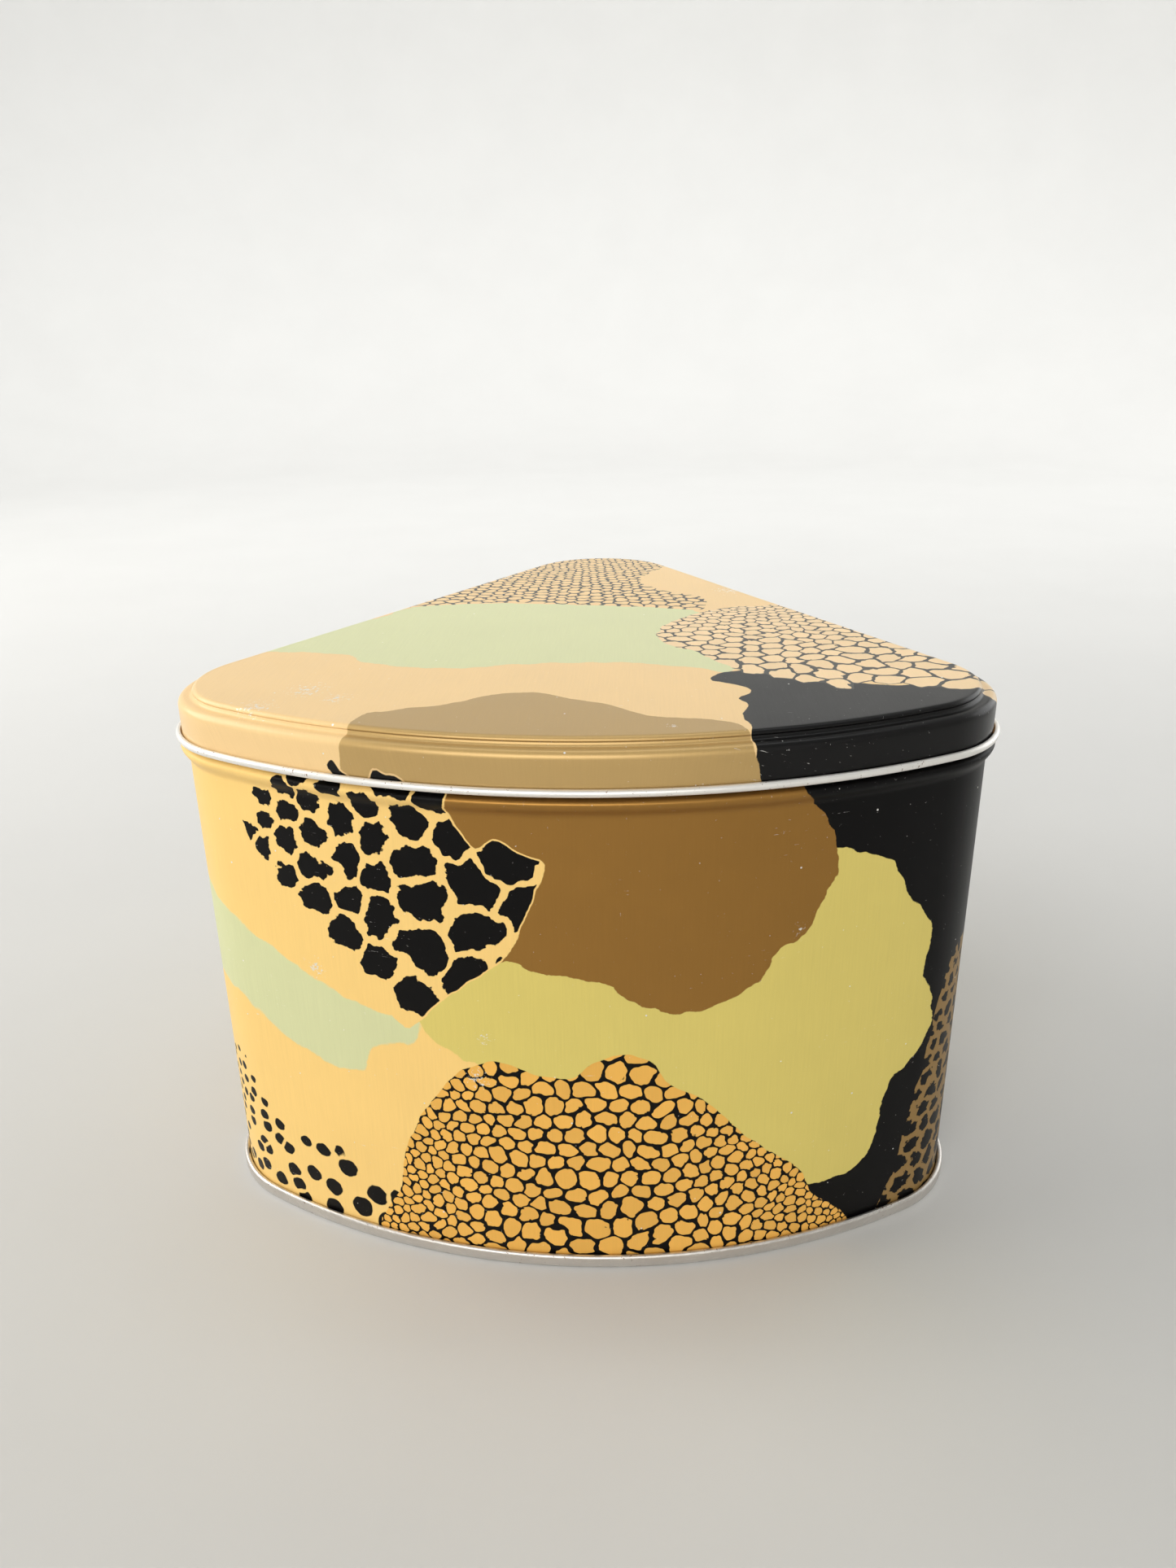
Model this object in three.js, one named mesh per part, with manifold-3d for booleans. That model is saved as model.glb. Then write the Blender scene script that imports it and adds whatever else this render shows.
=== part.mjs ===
// A cookie tin with a wedge-shaped plan: lift-off lid, rolled body wall and seamed-on bottom end.
// Millimetres, +Z up. The origin is the middle of the bounding box, at its bottom.
// The curved front faces -Y and the rear corner points to +Y.
import * as THREE from "three";
import { mergeVertices } from "three/addons/utils/BufferGeometryUtils.js";
import Module from "manifold-3d";

// Plan: three corner centres on an equilateral triangle. The front arc is centred on the rear corner.
const CORNER_SPACING = 135;
const CORNER_RADIUS = 26;
const PLAN_DEPTH = CORNER_SPACING * Math.sqrt(3) / 2;
const FRONT_RADIUS = CORNER_SPACING + CORNER_RADIUS;
const FRONT_Y = PLAN_DEPTH - FRONT_RADIUS;
const REAR_Y = PLAN_DEPTH + CORNER_RADIUS;
const MIDDLE_Y = (FRONT_Y + REAR_Y) / 2;
const FRONT_STEPS = 12;
const CORNER_STEPS = 9;
const REAR_STEPS = 12;

// Sheet metal, and the clearance kept between two pieces.
const SHEET = 0.25;
const HALF = SHEET / 2;
const GAP = 0.3;

// Heights of the lid, above the surface that the tin stands on.
const LID_TOP = 133.8;
const SHOULDER_TOP = 131.9;
const LID_CURL_Z = 123.3;

// Offsets are measured outwards from the wall's outer face.
const LID_SKIRT = 0.95 - HALF;
const LID_RISER = -2.6;
const LID_CURL_RADIUS = 0.725;
const SHOULDER_RADIUS = 0.7;
const STEP_RADIUS = 0.5;

// Body wall: stop bead under the lid, and a rim rolled inwards.
const WALL = -HALF;
const BEAD_BOTTOM = 117;
const BEAD_CREST = 120.7;
const BEAD_TOP = 122.2;
const BEAD_HEIGHT = 1.7;
const BEAD_STEPS = 6;
const RIM_RADIUS = 0.5;
const RIM_TOP = SHOULDER_TOP - SHEET - GAP;

// Bottom double seam: body hook and end hook folded into each other, and a panel raised inside.
const END_HOOK = WALL + SHEET + GAP;
const BODY_HOOK = END_HOOK + SHEET + GAP;
const SEAM_OUTER = BODY_HOOK + SHEET + GAP;
const CHUCK_WALL = WALL - SHEET - GAP;
const HOOK_RADIUS = (BODY_HOOK - WALL) / 2;
const BODY_HOOK_Z = SHEET + GAP + HALF + HOOK_RADIUS;
const BODY_HOOK_TOP = 2.3;
const FOLD_Z = 2.5;
const END_HOOK_TIP = 1.2;
const SEAM_RADIUS = 0.5;
const BOTTOM_PANEL = 3.6;
const PANEL_RADIUS = 0.6;
const STIFFENING_STEP = 0.7;
const STIFFENING_INSET = 12;

// Lock side seam: folded edges that lie against the inside of the right-hand straight side.
const SEAM_WIDTH = 5;
const SEAM_THICKNESS = 0.6;
const SEAM_BITE = 0.1;
const SEAM_BOTTOM = 4.4;
const SEAM_TOP = 116;

const DEGREE = Math.PI / 180;

// Points on an arc, given in degrees, both ends included.
function arc(centreX, centreY, radius, from, to, steps) {
  return Array.from({ length: steps + 1 }, (_, i) => {
    const angle = (from + (to - from) * i / steps) * DEGREE;
    return [centreX + radius * Math.cos(angle), centreY + radius * Math.sin(angle)];
  });
}

// Stations round the wall's outer face, anticlockwise from above, each with its outward normal.
function outlineStations() {
  const half = CORNER_SPACING / 2;
  const arcs = [
    { x: 0, y: PLAN_DEPTH, radius: FRONT_RADIUS, from: 240, to: 300, steps: FRONT_STEPS },
    { x: half, y: 0, radius: CORNER_RADIUS, from: 300, to: 390, steps: CORNER_STEPS },
    { x: 0, y: PLAN_DEPTH, radius: CORNER_RADIUS, from: 30, to: 150, steps: REAR_STEPS },
    { x: -half, y: 0, radius: CORNER_RADIUS, from: 150, to: 240, steps: CORNER_STEPS },
  ];
  const stations = arcs.flatMap(({ x, y, radius, from, to, steps }) =>
    arc(0, 0, 1, from, to, steps).map(([nx, ny]) => ({
      x: x + radius * nx,
      y: y - MIDDLE_Y + radius * ny,
      nx,
      ny,
    })),
  );
  return stations.filter((station, i) => {
    const next = stations[(i + 1) % stations.length];
    return Math.hypot(next.x - station.x, next.y - station.y) > 0.01;
  });
}

// Both faces of a sheet along its centreline: the right-hand side out, the left-hand side back.
function sheetProfile(centreline) {
  const side = (sign) => centreline.map(([o, z], i) => {
    const [o0, z0] = centreline[Math.max(i - 1, 0)];
    const [o1, z1] = centreline[Math.min(i + 1, centreline.length - 1)];
    const before = new THREE.Vector2(o - o0, z - z0).normalize();
    const after = new THREE.Vector2(o1 - o, z1 - z).normalize();
    const along = before.clone().add(after).normalize();
    const reach = HALF / Math.max(along.dot(i ? before : after), 0.5);
    return [o + sign * reach * along.y, z - sign * reach * along.x];
  });
  return [...side(1), ...side(-1).reverse()];
}

// A sheet swept round the outline. A capped sheet runs on as a flat panel to the middle of the plan.
function sweepSheet(stations, centreline, capped) {
  const profile = sheetProfile(centreline);
  const count = profile.length;
  const positions = stations.flatMap((s) =>
    profile.flatMap(([o, z]) => [s.x + s.nx * o, s.y + s.ny * o, z]));
  const index = [];
  const lastRow = capped ? count - 1 : count;
  const underside = stations.length * count;
  const topside = underside + 1;
  if (capped) {
    positions.push(0, 0, profile[0][1], 0, 0, profile[count - 1][1]);
  }
  for (let i = 0; i < stations.length; i += 1) {
    const here = i * count;
    const next = ((i + 1) % stations.length) * count;
    for (let j = 0; j < lastRow; j += 1) {
      const up = (j + 1) % count;
      index.push(here + j, next + j, next + up, here + j, next + up, here + up);
    }
    if (capped) {
      index.push(underside, next, here);
      index.push(topside, here + count - 1, next + count - 1);
    }
  }
  const geometry = new THREE.BufferGeometry();
  geometry.setAttribute("position", new THREE.Float32BufferAttribute(positions, 3));
  geometry.setIndex(index);
  return geometry;
}

// Lid: flat raised panel, step down to a shoulder, skirt, and an edge curled outwards.
function lidCentreline() {
  const panel = LID_TOP - HALF;
  const shoulder = SHOULDER_TOP - HALF;
  return [
    ...arc(LID_RISER - STEP_RADIUS, panel - STEP_RADIUS, STEP_RADIUS, 90, 0, 3),
    ...arc(LID_RISER + STEP_RADIUS, shoulder + STEP_RADIUS, STEP_RADIUS, 180, 270, 3),
    ...arc(LID_SKIRT - SHOULDER_RADIUS, shoulder - SHOULDER_RADIUS, SHOULDER_RADIUS, 90, 0, 4),
    ...arc(LID_SKIRT + LID_CURL_RADIUS, LID_CURL_Z, LID_CURL_RADIUS, 180, 470, 10),
  ];
}

// Body wall: hook in the bottom seam, plain wall, stop bead, neck, and a rim rolled inwards.
function wallCentreline() {
  const half = (from, to) => Array.from({ length: BEAD_STEPS }, (_, i) => {
    const share = i / BEAD_STEPS;
    const rise = (1 - Math.cos(share * Math.PI)) / 2;
    const climbing = from < BEAD_CREST;
    return [WALL + BEAD_HEIGHT * (climbing ? rise : 1 - rise), from + (to - from) * share];
  });
  const hookCentre = WALL + HOOK_RADIUS;
  return [
    [BODY_HOOK, BODY_HOOK_TOP],
    ...arc(hookCentre, BODY_HOOK_Z, HOOK_RADIUS, 360, 180, 6),
    ...half(BEAD_BOTTOM, BEAD_CREST),
    ...half(BEAD_CREST, BEAD_TOP),
    [WALL, BEAD_TOP],
    ...arc(WALL - RIM_RADIUS, RIM_TOP - HALF - RIM_RADIUS, RIM_RADIUS, 0, 240, 7),
  ];
}

// Bottom end: panel with one stiffening step, chuck wall, and the seam's outside folded to its hook.
function endCentreline() {
  const foldRadius = (SEAM_OUTER - END_HOOK) / 2;
  return [
    [-STIFFENING_INSET - STIFFENING_STEP, BOTTOM_PANEL - STIFFENING_STEP],
    [-STIFFENING_INSET, BOTTOM_PANEL],
    ...arc(CHUCK_WALL - PANEL_RADIUS, BOTTOM_PANEL - PANEL_RADIUS, PANEL_RADIUS, 90, 0, 3),
    ...arc(CHUCK_WALL + SEAM_RADIUS, HALF + SEAM_RADIUS, SEAM_RADIUS, 180, 270, 3),
    ...arc(SEAM_OUTER - SEAM_RADIUS, HALF + SEAM_RADIUS, SEAM_RADIUS, 270, 360, 3),
    ...arc(SEAM_OUTER - foldRadius, FOLD_Z, foldRadius, 0, 180, 6),
    [END_HOOK, END_HOOK_TIP],
  ];
}

const wasm = await Module();
wasm.setup();

// A geometry as a solid of the boolean library, with shared vertices merged.
function toSolid(geometry) {
  const plain = new THREE.BufferGeometry();
  plain.setAttribute("position", geometry.getAttribute("position"));
  plain.setIndex(geometry.getIndex());
  const merged = mergeVertices(plain, 1e-4);
  return new wasm.Manifold(new wasm.Mesh({
    numProp: 3,
    vertProperties: merged.getAttribute("position").array,
    triVerts: new Uint32Array(merged.getIndex().array),
  }));
}

function toGeometry(solid) {
  const { vertProperties, triVerts } = solid.getMesh();
  const geometry = new THREE.BufferGeometry();
  geometry.setAttribute("position", new THREE.Float32BufferAttribute(vertProperties, 3));
  geometry.setIndex(Array.from(triVerts));
  return geometry;
}

// The lock seam's folds: a flat strip that bites into the inner face of the right-hand side.
function lockSeamStrip() {
  const normal = 30 * DEGREE;
  const inset = CORNER_RADIUS - SHEET + SEAM_BITE - SEAM_THICKNESS / 2;
  const strip = new THREE.BoxGeometry(SEAM_THICKNESS, SEAM_WIDTH, SEAM_TOP - SEAM_BOTTOM);
  strip.rotateZ(normal);
  strip.translate(
    CORNER_SPACING / 4 + inset * Math.cos(normal),
    PLAN_DEPTH / 2 - MIDDLE_Y + inset * Math.sin(normal),
    (SEAM_TOP + SEAM_BOTTOM) / 2,
  );
  return strip;
}

function bodyWallGeometry(stations) {
  const wall = toSolid(sweepSheet(stations, wallCentreline(), false));
  return toGeometry(wall.add(toSolid(lockSeamStrip())));
}

function sheetPiece(name, geometry, color, roughness, metalness) {
  geometry.computeVertexNormals();
  const material = new THREE.MeshStandardMaterial({ color, roughness, metalness, flatShading: true });
  const mesh = new THREE.Mesh(geometry, material);
  mesh.name = name;
  return mesh;
}

const stations = outlineStations();
const tin = new THREE.Group();
tin.name = "cookie_tin";
tin.add(
  sheetPiece("lid", sweepSheet(stations, lidCentreline(), true), 0xd9c48a, 0.4, 0.1),
  sheetPiece("body_wall", bodyWallGeometry(stations), 0xb98a3c, 0.4, 0.1),
  sheetPiece("bottom_end", sweepSheet(stations, endCentreline(), true), 0xb9b7b2, 0.35, 0.9),
);

export default tin;
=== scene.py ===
import math

import bpy
import numpy as np
from bpy.props import FloatProperty, FloatVectorProperty, IntProperty, PointerProperty
from mathutils import Matrix, Vector


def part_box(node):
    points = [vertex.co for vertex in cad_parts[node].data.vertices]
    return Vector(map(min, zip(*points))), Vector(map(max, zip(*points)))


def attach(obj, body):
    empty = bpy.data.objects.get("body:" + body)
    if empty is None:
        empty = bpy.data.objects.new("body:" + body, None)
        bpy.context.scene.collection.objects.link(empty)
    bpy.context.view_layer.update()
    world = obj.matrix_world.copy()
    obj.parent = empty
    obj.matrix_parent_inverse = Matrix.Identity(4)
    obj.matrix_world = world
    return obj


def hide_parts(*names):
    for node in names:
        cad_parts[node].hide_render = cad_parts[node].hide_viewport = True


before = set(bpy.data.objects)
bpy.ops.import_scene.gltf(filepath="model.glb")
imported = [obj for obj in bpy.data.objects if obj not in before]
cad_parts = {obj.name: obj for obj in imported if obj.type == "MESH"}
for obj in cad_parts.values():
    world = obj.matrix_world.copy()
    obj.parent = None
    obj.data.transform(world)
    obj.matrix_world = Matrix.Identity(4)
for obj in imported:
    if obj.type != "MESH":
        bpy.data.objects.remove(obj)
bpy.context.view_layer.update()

bl_info = {
    "name": "Cookie Tin",
    "version": (1, 0, 0),
    "blender": (4, 5, 0),
    "location": "View3D > Sidebar > Cookie Tin",
    "description": "Makes a wedge-shaped printed cookie tin, its finishes and a plain stage",
    "category": "Add Mesh",
}

MM = 0.001
LID_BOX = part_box("lid")
LID_TOP = LID_BOX[1].z / MM


# ---------------------------------------------------------------- settings

def length(name, description, default, **limits):
    """A length in millimetres."""
    return FloatProperty(name=name, description=description, default=default, precision=3, **limits)


def ink(name, description, default):
    """An ink's linear colour."""
    return FloatVectorProperty(
        name=name, description=description, default=default, subtype="COLOR", size=3, min=0, max=1)


def power(name, description, default):
    """A light's power in watts."""
    return FloatProperty(name=name, description=description, default=default, unit="POWER")


class TinPlanSettings(bpy.types.PropertyGroup):
    corner_spacing: length("Corner spacing", "Side of the triangle of corner centres, mm", 135.0)
    corner_radius: length("Corner radius", "Radius of the wall at each corner, mm", 26.0)
    sheet: length("Sheet", "Thickness of the tinplate, mm", 0.25)
    front_step: length("Front step", "Station spacing round the front, mm", 0.95)
    side_step: length("Side step", "Station spacing along the straight sides, mm", 2.7)
    rear_step: length("Rear step", "Station spacing round the rear corner, mm", 1.4)


class LidSettings(bpy.types.PropertyGroup):
    top: length("Top", "Height of the raised panel, mm", LID_TOP)
    shoulder: length("Shoulder", "Height of the shoulder, mm", 131.9)
    skirt: length("Skirt", "Offset of the skirt's centreline from the wall's face, mm", 0.825)
    riser: length("Riser", "Offset of the step's centreline, mm", -2.6)
    curl_height: length("Curl height", "Height of the curl's centre, mm", 123.3)
    curl_radius: length("Curl radius", "Radius of the curl's centreline, mm", 0.725)
    waviness: length("Waviness", "How far the panel sinks where it is drawn unevenly, mm", 0.16)
    panel_rings: IntProperty(name="Panel rings", description="Rings on the raised panel", default=58)


class WallSettings(bpy.types.PropertyGroup):
    bead_bottom: length("Bead bottom", "Where the stop bead starts, mm", 117.0)
    bead_crest: length("Bead crest", "Height of the stop bead's crest, mm", 120.7)
    bead_top: length("Bead top", "Where the stop bead ends, mm", 122.2)
    bead_height: length("Bead height", "How far the bead stands out, mm", 1.7)
    rim_top: length("Rim top", "Height of the rolled rim, mm", 131.35)
    rim_radius: length("Rim radius", "Radius of the rolled rim's centreline, mm", 0.5)
    row_step: length("Row step", "Row spacing up the printed face, mm", 1.3)
    seam_width: length("Seam width", "Width of the lock side seam, mm", 5.0)
    seam_fold: length("Seam fold", "How far the seam's folds stand in, mm", 0.5)
    seam_groove: length("Seam groove", "Depth of the seam's outside line, mm", 0.14)


class EndSettings(bpy.types.PropertyGroup):
    panel: length("Panel", "Height of the bottom panel, mm", 3.6)
    step: length("Step", "Drop of the stiffening step, mm", 0.7)
    step_inset: length("Step inset", "Offset of the stiffening step, mm", -12.0)
    fold_height: length("Fold height", "Centre of the seam's upper fold, mm", 2.5)
    gap: length("Gap", "Clearance between the layers of the seam, mm", 0.3)
    panel_rings: IntProperty(name="Panel rings", description="Rings on the bottom panel", default=16)


class InkSettings(bpy.types.PropertyGroup):
    honey: ink("Honey", "Ground of the print", (0.93, 0.63, 0.22))
    peach: ink("Peach", "Ground of the lid", (0.86, 0.60, 0.29))
    mint: ink("Mint", "Pale green bands", (0.66, 0.675, 0.38))
    leaf: ink("Leaf", "Yellow-green patch", (0.71, 0.585, 0.165))
    cocoa: ink("Cocoa", "Brown patches", (0.37, 0.19, 0.046))
    # Partly painted sheen: this is the same brown ink as cocoa, made paler so that the satin sheen of the
    # lid's top is painted into its colour, on the skirt too.
    khaki_with_sheen: ink("Khaki", "Brown patch on the lid", (0.55, 0.365, 0.142))
    soot: ink("Soot", "Black ink", (0.002, 0.0017, 0.0018))
    amber: ink("Amber", "Pebbles on the wall", (0.86, 0.47, 0.10))
    cream: ink("Cream", "Cobbles on the lid", (0.88, 0.64, 0.36))
    fawn: ink("Fawn", "Broken net on black", (0.30, 0.185, 0.065))
    slate: ink("Slate", "Joints of the cobbles", (0.045, 0.043, 0.038))
    tinplate: ink("Tinplate", "Bare tinplate", (0.90, 0.88, 0.84))
    rust: ink("Rust", "Stains on bare edges", (0.20, 0.085, 0.03))


class StageSettings(bpy.types.PropertyGroup):
    eye: FloatVectorProperty(
        name="Eye", description="Where the camera stands", default=(0.01415, -0.30623, 0.21188),
        subtype="TRANSLATION", unit="LENGTH")
    heading: FloatProperty(
        name="Heading", description="Camera's turn to the left of +Y", default=0.0512, subtype="ANGLE")
    pitch: FloatProperty(
        name="Pitch", description="How far the camera looks down", default=0.3881, subtype="ANGLE")
    roll: FloatProperty(
        name="Roll", description="Camera's turn about its own axis", default=-0.0152, subtype="ANGLE")
    focal_length: FloatProperty(
        name="Focal length", description="On a 36 mm sensor", default=26.4, unit="CAMERA")
    floor_colour: ink("Floor", "Floor colour", (0.57, 0.565, 0.55))
    floor_flat: length("Flat floor", "Radius of the floor's flat part, mm", 1500.0)
    floor_bend: length("Floor bend", "Radius of the bend up to the upright paper, mm", 700.0)
    floor_height: length("Floor height", "Height of the upright paper, mm", 2600.0)
    room_colour: ink("Room", "Colour of the room's light", (0.80, 0.82, 0.80))
    room_strength: FloatProperty(name="Room light", description="Strength of the room's light", default=0.45)
    key_power: power("Key", "Power of the window light", 11.0)
    fill_power: power("Fill", "Power of the front light", 12.0)
    near_power: power("Near paper", "Power of the light on the paper behind the camera", 16.0)
    side_power: power("Side", "Power of the right light", 7.0)
    paper_power: power("Paper", "Power of the light on the paper", 27.0)


# ---------------------------------------------------------------- plan and sheet shapes

class Plan:
    """The tin's outline: three corner circles on an equilateral triangle, with a front arc centred on
    the rear corner. Distances run along the wall's outer face from the front's middle, positive to
    the right seen from outside, and the side seam is at both ends."""

    def __init__(self, settings):
        self.spacing = settings.corner_spacing
        self.radius = settings.corner_radius
        self.depth = self.spacing * math.sqrt(3) / 2
        self.front_radius = self.spacing + self.radius
        self.middle_y = self.depth - self.spacing / 2
        self.front_half = self.front_radius * math.pi / 6
        self.corner_length = self.radius * math.pi / 2
        self.side_start = self.front_half + self.corner_length
        self.rear_half = self.radius * math.pi / 3
        self.rear_start = self.side_start + self.spacing
        self.around = 2 * (self.rear_start + self.rear_half)
        self.seam_right = self.side_start + self.spacing / 2
        self.seam_left = self.seam_right - self.around

    def at(self, distance):
        """Points and outward normals: each stretch's own arc or line, chosen by distance. The left
        half mirrors the right half, and past the rear corner's middle the distance wraps."""
        half = self.around / 2
        distance = (np.asarray(distance, float) + half) % self.around - half
        reach = np.abs(distance)
        angle = np.select(
            [reach <= self.front_half, reach <= self.side_start, reach <= self.rear_start],
            [reach / self.front_radius - math.pi / 2,
             (reach - self.front_half) / self.radius - math.pi / 3,
             np.full_like(reach, math.pi / 6)],
            (reach - self.rear_start) / self.radius + math.pi / 6)
        along = np.clip(reach - self.side_start, 0, self.spacing)
        centre_x = np.select(
            [reach <= self.front_half, reach <= self.rear_start],
            [np.zeros_like(reach), self.spacing / 2 - along / 2], 0.0)
        centre_y = np.select(
            [reach <= self.front_half, reach <= self.rear_start],
            [np.full_like(reach, self.depth), along * math.sqrt(3) / 2], self.depth)
        size = np.where(reach <= self.front_half, self.front_radius, self.radius)
        side = np.where(distance < 0, -1.0, 1.0)
        normal = np.stack([side * np.cos(angle), np.sin(angle)], -1)
        point = np.stack([side * centre_x, centre_y - self.middle_y], -1)
        return point + size[..., None] * normal, normal

    def stations(self, settings):
        """Distances from seam to seam, close together round the front and wider elsewhere."""
        ends = [self.seam_left, -self.rear_start - 2 * self.rear_half, -self.rear_start,
                -self.side_start, self.side_start, self.seam_right]
        steps = [settings.side_step, settings.rear_step, settings.side_step,
                 settings.front_step, settings.side_step]
        runs = [np.linspace(a, b, round((b - a) / step), endpoint=False)
                for a, b, step in zip(ends, ends[1:], steps)]
        seam_lines = settings.sheet * np.array([1.25, 2.5, 5.0, 10.0])
        return np.unique(np.concatenate(
            runs + [[self.seam_right], self.seam_left + seam_lines, self.seam_right - seam_lines]))


def bend(centre, radius, start, end, steps):
    """Points on an arc of a section, angles in degrees."""
    angle = np.radians(np.linspace(start, end, steps + 1))
    return np.stack([centre[0] + radius * np.cos(angle), centre[1] + radius * np.sin(angle)], -1)


def run(start, end, step):
    """Points between two points of a section, both left out, about step apart."""
    start, end = np.array(start, float), np.array(end, float)
    count = max(round(np.linalg.norm(end - start) / step), 1)
    share = np.arange(1, count)[:, None] / count
    return start + (end - start) * share


class Section:
    """A sheet's cross-section: its centreline in offset and height, and for each point the sheet's
    normal, the distance along it, and the signed curvature from the turn between its two segments."""

    def __init__(self, points):
        self.points = np.concatenate(points)
        delta = np.diff(self.points, axis=0)
        size = np.linalg.norm(delta, axis=1)
        way = delta / size[:, None]
        before = np.vstack([way[:1], way])
        after = np.vstack([way, way[-1:]])
        along = before + after
        along /= np.linalg.norm(along, axis=1)[:, None]
        self.right = np.stack([along[:, 1], -along[:, 0]], -1)
        self.distance = np.concatenate([[0], np.cumsum(size)])
        turn = np.arctan2(before[:, 0] * after[:, 1] - before[:, 1] * after[:, 0], (before * after).sum(1))
        span = (np.append(size, size[-1]) + np.insert(size, 0, size[0])) / 2
        self.curvature = turn / span

    def face(self, side, half):
        """One face: side 1 is to the right of the centreline's run, side -1 to its left."""
        return self.points + side * half * self.right


# ---------------------------------------------------------------- meshes

def grid_faces(columns, rows, closed):
    """Quads of a grid whose columns wrap round. Rows wrap too when closed. Also gives, for each quad
    corner, its place in a grid with one more column, so that values may jump at the wrap."""
    column = np.arange(columns)[:, None]
    row = np.arange(rows if closed else rows - 1)[None, :]
    up = (row + 1) % rows
    here, there = column * rows, (column + 1) % columns * rows
    quads = np.stack([here + row, there + row, there + up, here + up], -1).reshape(-1, 4)
    there = (column + 1) * rows
    corners = np.stack([here + row, there + row, there + up, here + up], -1).reshape(-1, 4)
    return quads, corners


def write_mesh(name, vertices, faces, values, corners):
    """A smooth mesh object from arrays, with one vector attribute per entry of values."""
    mesh = bpy.data.meshes.new(name)
    mesh.vertices.add(len(vertices))
    mesh.vertices.foreach_set("co", (vertices * MM).astype(np.float32).ravel())
    sizes = np.concatenate([np.full(len(f), f.shape[1]) for f in faces])
    flat = np.concatenate([f.ravel() for f in faces])
    mesh.loops.add(len(flat))
    mesh.loops.foreach_set("vertex_index", flat.astype(np.int32))
    mesh.polygons.add(len(sizes))
    starts = np.concatenate([[0], np.cumsum(sizes)[:-1]])
    mesh.polygons.foreach_set("loop_start", starts.astype(np.int32))
    mesh.update(calc_edges=True)
    mesh.validate()
    mesh.polygons.foreach_set("use_smooth", np.ones(len(sizes), bool))
    for key, value in values.items():
        at = np.concatenate([c.ravel() for c in corners])
        layer = mesh.attributes.new(key, "FLOAT_VECTOR", "CORNER")
        layer.data.foreach_set("vector", value[at].astype(np.float32).ravel())
    mesh.update()
    thing = bpy.data.objects.new(name, mesh)
    bpy.context.scene.collection.objects.link(thing)
    return thing


def sweep(plan, stations, rows):
    """Every row of offset and height carried round the plan: outline point + normal * offset. An
    offset may be one number or one for each station."""
    point, normal = plan.at(stations)
    offset = rows[..., 0]
    flat = point[:, None] + normal[:, None] * offset[..., None]
    height = np.broadcast_to(rows[..., 1], offset.shape)
    height = np.broadcast_to(height, flat.shape[:2])
    return np.concatenate([flat, height[..., None]], -1)


# ---------------------------------------------------------------- the print's patches

def loop_curve(points, samples=9):
    """A closed Catmull-Rom curve through the points: each stretch is the usual cubic of its two ends
    and their two neighbours."""
    p1 = np.array(points, float)
    p0, p2, p3 = (np.roll(p1, shift, 0) for shift in (1, -1, -2))
    t = np.linspace(0, 1, samples, endpoint=False)[:, None, None]
    cubic = 2 * p1 + (p2 - p0) * t + (2 * p0 - 5 * p1 + 4 * p2 - p3) * t**2
    cubic = cubic + (3 * p1 - p0 - 3 * p2 + p3) * t**3
    return (cubic / 2).transpose(1, 0, 2).reshape(-1, 2)


def signed_distance(places, outline, reach=18.0):
    """Distance to a closed outline, negative inside: the least distance to its segments, with the
    sign from a count of crossings. Places far outside its box only get the distance to the box."""
    low, high = outline.min(0), outline.max(0)
    result = np.linalg.norm(np.maximum(np.maximum(low - places, places - high), 0), axis=-1)
    near = result < reach
    p = places[near]
    a, b = outline, np.roll(outline, -1, 0)
    best = np.full(len(p), np.inf)
    inside = np.zeros(len(p), bool)
    for start, end in zip(a, b):
        edge = end - start
        offset = p - start
        share = np.clip(offset @ edge / (edge @ edge), 0, 1)
        best = np.minimum(best, ((offset - share[:, None] * edge) ** 2).sum(-1))
        spans = (start[1] > p[:, 1]) != (end[1] > p[:, 1])
        if edge[1]:
            inside ^= spans & (offset[:, 0] < edge[0] * offset[:, 1] / edge[1])
    result[near] = np.sqrt(best) * np.where(inside, -1, 1)
    return result


def patches(places, outlines):
    """Signed distance to the nearest of several outlines, and which one that is."""
    each = np.stack([signed_distance(places, loop_curve(o)) for o in outlines])
    return each.min(0), each.argmin(0)


def fan_cells(places, centre, fineness, start_radius, start_angle):
    """Cell coordinates that grow away from a centre: the logarithm of the radius against the angle,
    which keeps cells square. Both are 0 at the start. The third value is a cell's size there."""
    away = places - np.array(centre)
    radius = np.linalg.norm(away, axis=-1).clip(1)
    angle = np.arctan2(away[:, 1], away[:, 0]) - math.radians(start_angle)
    angle = (angle + math.pi) % (2 * math.pi) - math.pi
    return np.stack([np.log(radius / start_radius) * fineness, angle * fineness, radius / fineness], -1)


def dome_cells(places, centre, width, size, narrowing=0.005):
    """Cell coordinates that are largest along an upright line and shrink to both sides and slowly
    upwards, as on a barrel. With the place as a complex number z, their slope is the hyperbolic
    cosine of z / width times the exponential of -i z narrowing. The third value is a cell's size."""
    z = (places[:, 0] - centre[0]) + 1j * (places[:, 1] - centre[1])
    z = z.real.clip(-2.6 * width, 2.6 * width) + 1j * z.imag.clip(-1.3 * width, 1.3 * width)
    right, left = 1 / width - 1j * narrowing, 1 / width + 1j * narrowing
    w = (np.exp(right * z) / right - np.exp(-left * z) / left) / (2 * size)
    slope = np.abs(np.cosh(z / width) * np.exp(-1j * narrowing * z))
    return np.stack([w.real, w.imag, size / slope.clip(0.3)], -1)


def choose(which, options):
    """For each place, the cell coordinates of the patch that it is in."""
    return np.select([(which == i)[:, None] for i in range(len(options))], options)


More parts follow.
